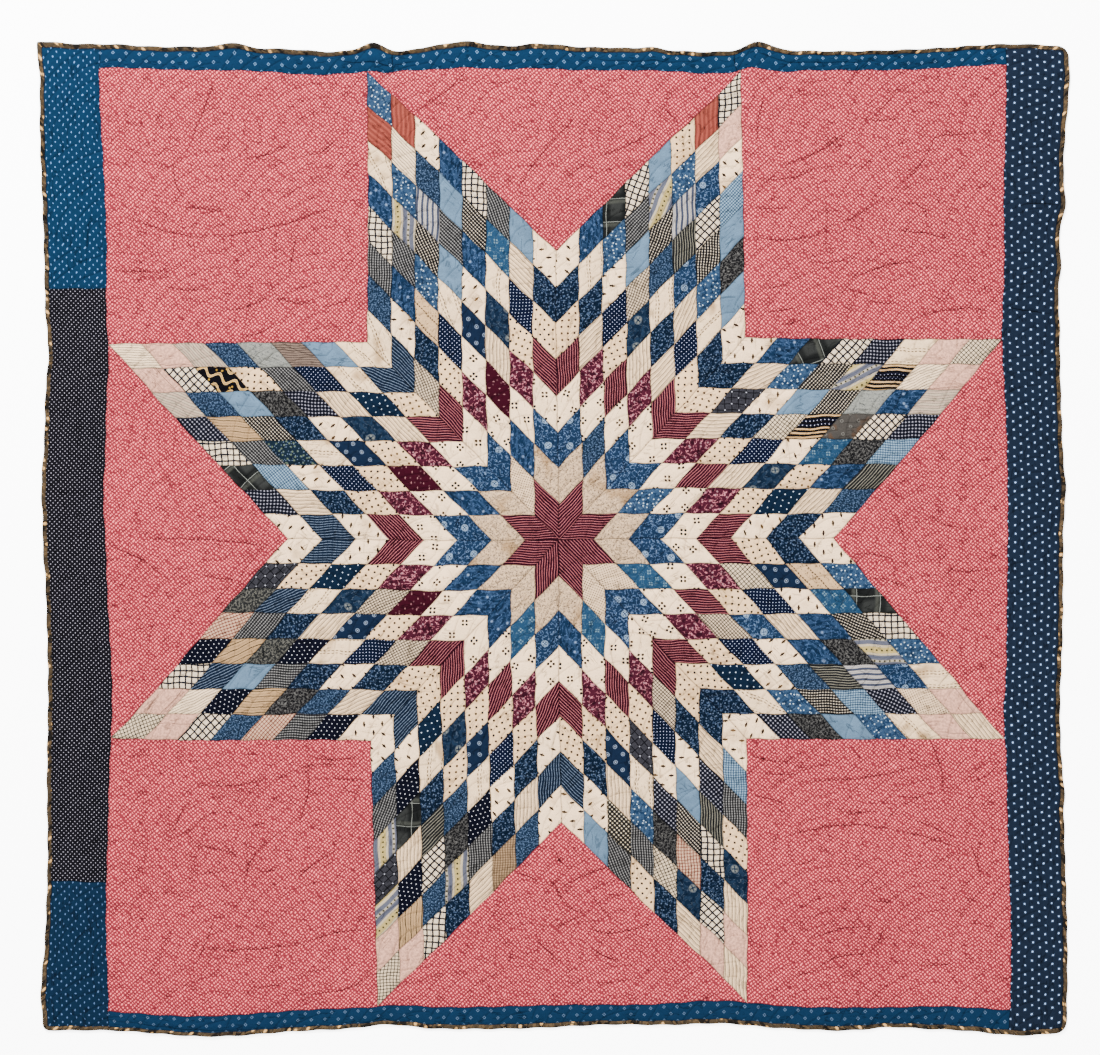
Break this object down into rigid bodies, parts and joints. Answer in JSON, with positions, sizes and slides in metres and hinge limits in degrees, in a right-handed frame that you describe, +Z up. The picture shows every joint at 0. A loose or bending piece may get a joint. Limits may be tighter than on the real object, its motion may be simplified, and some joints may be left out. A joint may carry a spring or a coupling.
{
  "type": "star quilt blanket",
  "caption": "Pieced cotton bed quilt: a large star of small print diamonds on a pink ground, with dark blue borders and a narrow print binding, lying flat and face up.",
  "frame": {"origin": "middle of the outline, on the flat underside", "axes": "+X across the quilt's width, +Y towards its top edge, +Z up out of its face"},
  "size_m": [2.024, 1.9502, 0.0066],
  "materials": {
    "patchwork": "many small cotton prints, washed and matte",
    "pink_ground": "rose pink cotton with a fine pale dot, matte",
    "blue_dotted": "blue cotton with small pale dots, matte",
    "navy_sprigged": "navy cotton with small pale sprigs, matte",
    "blue_dashed": "blue cotton with small pale dashes, matte",
    "pin_dotted": "near-black cotton with fine pin dots, matte",
    "binding_print": "brown and black cotton print, worn, matte"
  },
  "bodies": {
    "root": {"star_point_nnw": "patchwork", "star_point_wnw": "patchwork", "star_point_wsw": "patchwork", "star_point_ssw": "patchwork", "star_point_sse": "patchwork", "star_point_ese": "patchwork", "star_point_ene": "patchwork", "star_point_nne": "patchwork", "corner_square_nw": "pink_ground", "corner_square_sw": "pink_ground", "corner_square_se": "pink_ground", "corner_square_ne": "pink_ground", "side_triangle_n": "pink_ground", "side_triangle_w": "pink_ground", "side_triangle_s": "pink_ground", "side_triangle_e": "pink_ground", "border_top": "blue_dotted", "border_bottom": "blue_dotted", "border_right": "navy_sprigged", "border_left_upper": "blue_dashed", "border_left_middle": "pin_dotted", "border_left_lower": "blue_dashed", "binding_top": "binding_print", "binding_right": "binding_print", "binding_bottom": "binding_print", "binding_left": "binding_print"}
  },
  "joints": []
}
